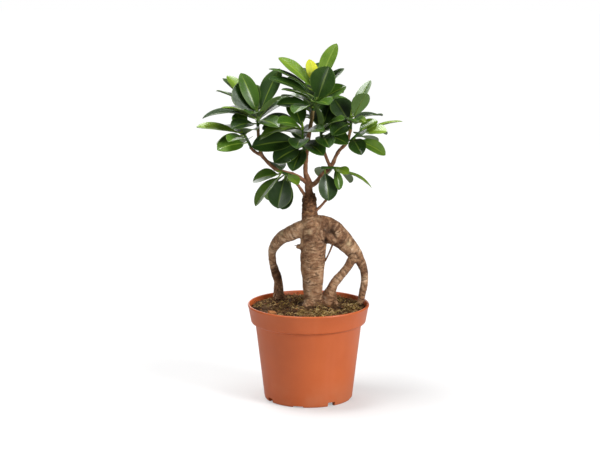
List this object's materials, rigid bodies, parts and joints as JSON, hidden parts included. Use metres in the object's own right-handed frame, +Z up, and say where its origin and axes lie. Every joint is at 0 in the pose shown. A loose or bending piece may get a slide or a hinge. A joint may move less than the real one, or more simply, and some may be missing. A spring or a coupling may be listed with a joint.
{
  "type": "potted ginseng ficus bonsai",
  "caption": "Small ginseng ficus bonsai with arched prop roots and grafted leafy scions, growing in a thin tapered plastic nursery pot with a rim band",
  "frame": {"origin": "centre of the pot's base, on the surface that the pot stands on", "axes": "+Z up along the trunk, -Y to the front as the plant is usually seen, +X to the right of that view"},
  "size_m": [0.2032, 0.1334, 0.3572],
  "materials": {
    "terracotta_plastic": "satin terracotta-coloured moulded plastic",
    "peat_soil": "dark crumbly peat",
    "moss": "dry yellow-green moss fibres",
    "chip_bark": "orange-brown bark flake",
    "root_bark": "grey-brown wrinkled bark",
    "scion_bark": "thin reddish-brown bark",
    "leaf_green": "glossy dark green, paler underneath"
  },
  "bodies": {
    "root": {"back_spray_shoot": "leaf_green", "back_twig": "scion_bark", "bark_chip": "chip_bark", "centre_front_leaf_1": "leaf_green", "centre_front_leaf_2": "leaf_green", "centre_front_leaf_3": "leaf_green", "centre_front_leaf_4": "leaf_green", "centre_front_leaf_5": "leaf_green", "centre_front_shoot": "leaf_green", "centre_scion": "scion_bark", "left_low_leaf_1": "leaf_green", "left_low_leaf_2": "leaf_green", "left_low_leaf_3": "leaf_green", "left_low_shoot": "leaf_green", "left_rosette_leaf_1": "leaf_green", "left_rosette_leaf_2": "leaf_green", "left_rosette_leaf_3": "leaf_green", "left_rosette_leaf_4": "leaf_green", "left_rosette_leaf_5": "leaf_green", "left_rosette_shoot": "leaf_green", "left_scion": "scion_bark", "low_left_leaf_1": "leaf_green", "low_left_leaf_2": "leaf_green", "low_left_leaf_3": "leaf_green", "low_left_leaf_4": "leaf_green", "low_left_shoot": "leaf_green", "low_left_twig": "scion_bark", "low_right_leaf_1": "leaf_green", "low_right_leaf_2": "leaf_green", "low_right_leaf_3": "leaf_green", "low_right_shoot": "leaf_green", "low_right_twig": "scion_bark", "moss_front": "moss", "moss_right": "moss", "pot": "terracotta_plastic", "right_inner_leaf_1": "leaf_green", "right_inner_leaf_2": "leaf_green", "right_inner_leaf_3": "leaf_green", "right_inner_shoot": "leaf_green", "right_rosette_leaf_1": "leaf_green", "right_rosette_leaf_2": "leaf_green", "right_rosette_leaf_3": "leaf_green", "right_rosette_leaf_4": "leaf_green", "right_rosette_shoot": "leaf_green", "right_side_leaf_1": "leaf_green", "right_side_leaf_2": "leaf_green", "right_side_leaf_3": "leaf_green", "right_side_shoot": "leaf_green", "rootstock": "root_bark", "soil": "peat_soil", "top_rosette_leaf_1": "leaf_green", "top_rosette_leaf_2": "leaf_green", "top_rosette_leaf_3": "leaf_green", "top_rosette_leaf_4": "leaf_green", "top_rosette_leaf_5": "leaf_green", "top_rosette_leaf_6": "leaf_green", "top_rosette_leaf_7": "leaf_green", "top_rosette_shoot": "leaf_green"}
  },
  "joints": []
}
